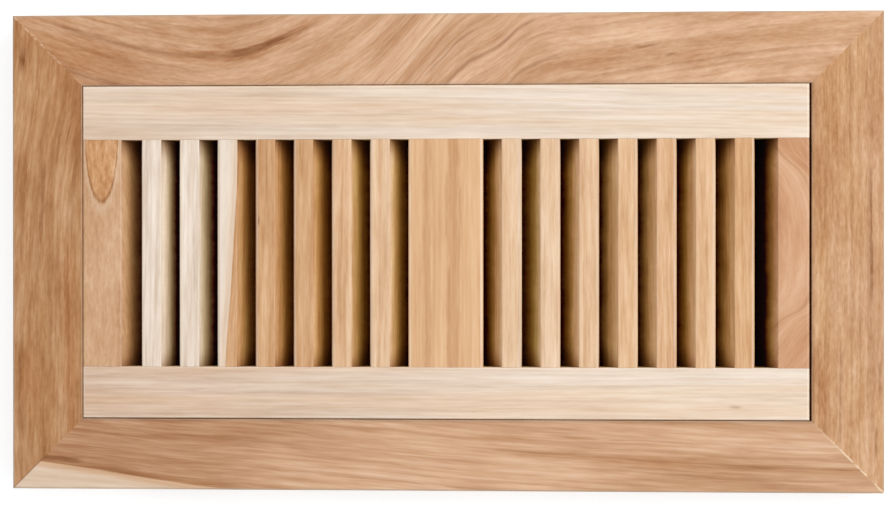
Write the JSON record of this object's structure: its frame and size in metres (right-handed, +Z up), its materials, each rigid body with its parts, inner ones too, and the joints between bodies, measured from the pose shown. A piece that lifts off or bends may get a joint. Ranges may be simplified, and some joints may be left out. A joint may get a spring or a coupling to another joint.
{
  "type": "floor register",
  "caption": "Flush-mount wooden floor register: a mitred frame with an inner ledge and a drop-in grille of slanted louvres that throw air outwards from a centre bar.",
  "frame": {"origin": "middle of the frame's underside, which lies on the subfloor", "axes": "+X along the register to the right, +Y across it to the back, +Z up out of the floor"},
  "size_m": [0.3356, 0.1838, 0.019],
  "materials": {
    "frame_heartwood": "sanded, unfinished",
    "grille_sapwood": "sanded, unfinished",
    "grille_heartwood": "sanded, unfinished",
    "spline_wood": "sawn"
  },
  "bodies": {
    "root": {"frame_front": "frame_heartwood", "frame_back": "frame_heartwood", "frame_left": "frame_heartwood", "frame_right": "frame_heartwood", "grille_rail_front": "grille_sapwood", "grille_rail_back": "grille_sapwood", "louvre_left_6": "grille_sapwood", "louvre_left_7": "grille_sapwood", "grille_end_left": "grille_heartwood", "grille_end_right": "grille_heartwood", "grille_centre_bar": "grille_heartwood", "louvre_left_1": "grille_heartwood", "louvre_left_2": "grille_heartwood", "louvre_left_3": "grille_heartwood", "louvre_left_4": "grille_heartwood", "louvre_left_5": "grille_heartwood", "louvre_right_1": "grille_heartwood", "louvre_right_2": "grille_heartwood", "louvre_right_3": "grille_heartwood", "louvre_right_4": "grille_heartwood", "louvre_right_5": "grille_heartwood", "louvre_right_6": "grille_heartwood", "louvre_right_7": "grille_heartwood", "mitre_spline_front_left": "spline_wood", "mitre_spline_front_right": "spline_wood", "mitre_spline_back_left": "spline_wood", "mitre_spline_back_right": "spline_wood"}
  },
  "joints": []
}
